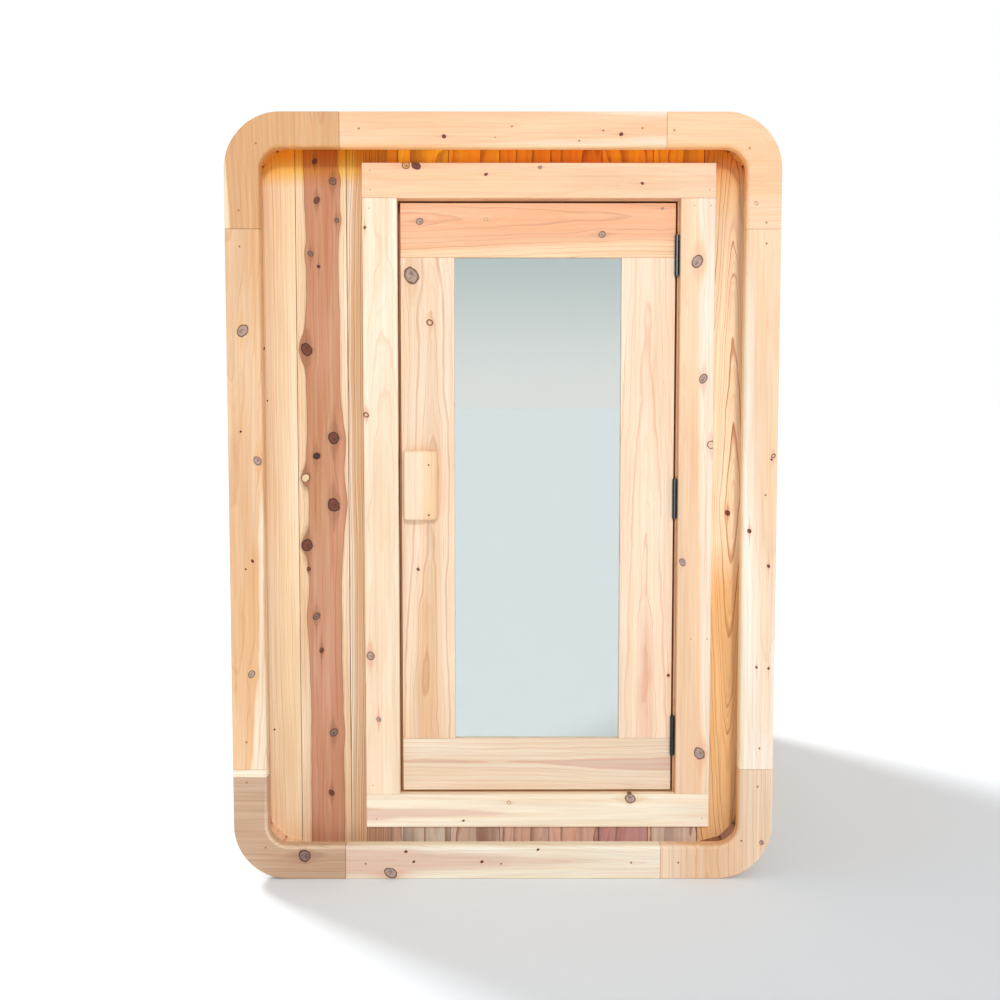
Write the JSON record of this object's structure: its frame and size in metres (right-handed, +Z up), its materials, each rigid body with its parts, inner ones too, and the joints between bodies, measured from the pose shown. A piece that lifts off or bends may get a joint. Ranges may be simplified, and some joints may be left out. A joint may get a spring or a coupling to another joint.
{
  "type": "barrel sauna",
  "caption": "Barrel sauna of rounded rectangular section: stave shell, rimmed ends, board end walls and a glazed plank door that swings outwards in a cased frame.",
  "frame": {"origin": "on the ground under the middle of the barrel", "axes": "+Z up, +X to the right of a person facing the door, door end facing -Y"},
  "size_m": [1.4, 1.83, 1.965],
  "materials": {
    "rim_wood": "planed and oiled",
    "stave_wood": "planed",
    "wall_wood": "planed",
    "casing_wood": "planed and oiled",
    "frame_wood": "planed",
    "door_wood": "planed and oiled",
    "handle_wood": "sanded",
    "glass": "clear, slightly grey",
    "hinge_metal": "satin black"
  },
  "bodies": {
    "cabin": {"casing_foot": "casing_wood", "casing_head": "casing_wood", "casing_hinge_side": "casing_wood", "casing_latch_side": "casing_wood", "door_frame_head": "frame_wood", "door_frame_hinge_side": "frame_wood", "door_frame_latch_side": "frame_wood", "door_frame_sill": "frame_wood", "floor": "stave_wood", "floor_corner_left": "stave_wood", "floor_corner_right": "stave_wood", "front_rim_bottom": "rim_wood", "front_rim_corner_bottom_left": "rim_wood", "front_rim_corner_bottom_right": "rim_wood", "front_rim_corner_top_left": "rim_wood", "front_rim_corner_top_right": "rim_wood", "front_rim_left": "rim_wood", "front_rim_right": "rim_wood", "front_rim_top": "rim_wood", "front_wall_left": "wall_wood", "front_wall_over_door": "wall_wood", "front_wall_right": "wall_wood", "front_wall_under_door": "wall_wood", "hinge_frame_leaves": "hinge_metal", "left_side": "stave_wood", "rear_rim_bottom": "rim_wood", "rear_rim_corner_bottom_left": "rim_wood", "rear_rim_corner_bottom_right": "rim_wood", "rear_rim_corner_top_left": "rim_wood", "rear_rim_corner_top_right": "rim_wood", "rear_rim_left": "rim_wood", "rear_rim_right": "rim_wood", "rear_rim_top": "rim_wood", "rear_wall": "wall_wood", "right_side": "stave_wood", "roof": "stave_wood", "roof_corner_left": "stave_wood", "roof_corner_right": "stave_wood"},
    "door": {"door_top_rail": "door_wood", "door_bottom_rail": "door_wood", "door_latch_stile": "door_wood", "door_hinge_stile": "door_wood", "door_glass": "glass", "door_handle": "handle_wood", "hinge_door_leaves": "hinge_metal"}
  },
  "joints": [
    {"name": "door_swing", "type": "hinge", "parent": "cabin", "child": "door", "pos_m": [0.4485, -0.8325, 0.9885], "axis": [0, 0, 1], "range_deg": [0, 115]}
  ]
}
